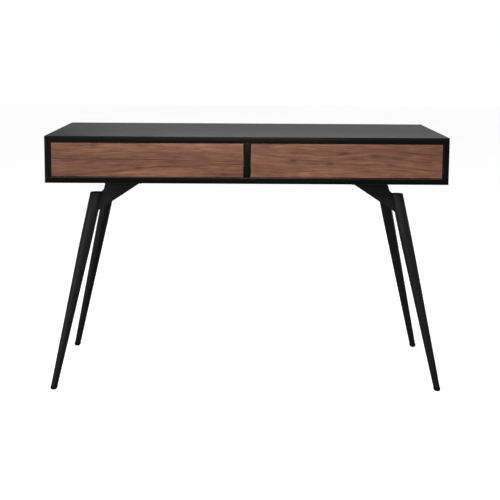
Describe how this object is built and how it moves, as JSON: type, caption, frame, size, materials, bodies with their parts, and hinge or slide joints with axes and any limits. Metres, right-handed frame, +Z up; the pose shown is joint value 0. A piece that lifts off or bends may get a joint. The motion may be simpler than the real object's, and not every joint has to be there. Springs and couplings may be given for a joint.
{
  "type": "writing desk",
  "caption": "Writing desk with a low mitred case, inset drawers without handles that run on ball-bearing slides, and splayed tapered legs held by triangular gusset brackets.",
  "frame": {"origin": "on the floor, under the middle of the case", "axes": "+X to the right along the desk, -Y to the front where the drawers open, +Z up"},
  "size_m": [1.2, 0.55, 0.78],
  "materials": {
    "case": "black satin lacquer on board",
    "walnut": "satin walnut veneer, grain along the front",
    "drawer_box": "grey foil on board",
    "drawer_bottom": "grey foil on hardboard",
    "slide_steel": "zinc-plated sheet steel",
    "leg_steel": "fine black powder coat",
    "foot_pad": "matte black",
    "screw": "black oxide"
  },
  "bodies": {
    "desk": {"top_panel": "case", "bottom_panel": "case", "left_side_panel": "case", "right_side_panel": "case", "centre_divider": "case", "back_panel": "case", "left_drawer_left_slide_cabinet_member": "slide_steel", "left_drawer_right_slide_cabinet_member": "slide_steel", "right_drawer_left_slide_cabinet_member": "slide_steel", "right_drawer_right_slide_cabinet_member": "slide_steel", "front_left_leg": "leg_steel", "front_left_foot_pad": "foot_pad", "front_left_bracket": "leg_steel", "front_left_bracket_screw_1": "screw", "front_left_bracket_screw_2": "screw", "front_left_bracket_screw_3": "screw", "front_left_bracket_screw_4": "screw", "front_right_leg": "leg_steel", "front_right_foot_pad": "foot_pad", "front_right_bracket": "leg_steel", "front_right_bracket_screw_1": "screw", "front_right_bracket_screw_2": "screw", "front_right_bracket_screw_3": "screw", "front_right_bracket_screw_4": "screw", "back_left_leg": "leg_steel", "back_left_foot_pad": "foot_pad", "back_left_bracket": "leg_steel", "back_left_bracket_screw_1": "screw", "back_left_bracket_screw_2": "screw", "back_left_bracket_screw_3": "screw", "back_left_bracket_screw_4": "screw", "back_right_leg": "leg_steel", "back_right_foot_pad": "foot_pad", "back_right_bracket": "leg_steel", "back_right_bracket_screw_1": "screw", "back_right_bracket_screw_2": "screw", "back_right_bracket_screw_3": "screw", "back_right_bracket_screw_4": "screw"},
    "left_drawer": {"left_drawer_front": "walnut", "left_drawer_left_side": "drawer_box", "left_drawer_right_side": "drawer_box", "left_drawer_back": "drawer_box", "left_drawer_bottom": "drawer_bottom", "left_drawer_left_slide_drawer_member": "slide_steel", "left_drawer_right_slide_drawer_member": "slide_steel"},
    "left_drawer_left_middle_member": {"left_drawer_left_slide_middle_member": "slide_steel"},
    "left_drawer_right_middle_member": {"left_drawer_right_slide_middle_member": "slide_steel"},
    "right_drawer": {"right_drawer_front": "walnut", "right_drawer_left_side": "drawer_box", "right_drawer_right_side": "drawer_box", "right_drawer_back": "drawer_box", "right_drawer_bottom": "drawer_bottom", "right_drawer_left_slide_drawer_member": "slide_steel", "right_drawer_right_slide_drawer_member": "slide_steel"},
    "right_drawer_left_middle_member": {"right_drawer_left_slide_middle_member": "slide_steel"},
    "right_drawer_right_middle_member": {"right_drawer_right_slide_middle_member": "slide_steel"}
  },
  "joints": [
    {"name": "left_drawer_slide", "type": "slide", "parent": "desk", "child": "left_drawer", "axis": [0, -1, 0], "range_m": [0, 0.4]},
    {"name": "left_drawer_left_middle_slide", "type": "slide", "parent": "desk", "child": "left_drawer_left_middle_member", "axis": [0, -1, 0], "range_m": [0, 0.2]},
    {"name": "left_drawer_right_middle_slide", "type": "slide", "parent": "desk", "child": "left_drawer_right_middle_member", "axis": [0, -1, 0], "range_m": [0, 0.2]},
    {"name": "right_drawer_slide", "type": "slide", "parent": "desk", "child": "right_drawer", "axis": [0, -1, 0], "range_m": [0, 0.4]},
    {"name": "right_drawer_left_middle_slide", "type": "slide", "parent": "desk", "child": "right_drawer_left_middle_member", "axis": [0, -1, 0], "range_m": [0, 0.2]},
    {"name": "right_drawer_right_middle_slide", "type": "slide", "parent": "desk", "child": "right_drawer_right_middle_member", "axis": [0, -1, 0], "range_m": [0, 0.2]}
  ],
  "couplings": [
    {"joint": "left_drawer_left_middle_slide", "follows": "left_drawer_slide", "ratio": 0.5},
    {"joint": "left_drawer_right_middle_slide", "follows": "left_drawer_slide", "ratio": 0.5},
    {"joint": "right_drawer_left_middle_slide", "follows": "right_drawer_slide", "ratio": 0.5},
    {"joint": "right_drawer_right_middle_slide", "follows": "right_drawer_slide", "ratio": 0.5}
  ]
}
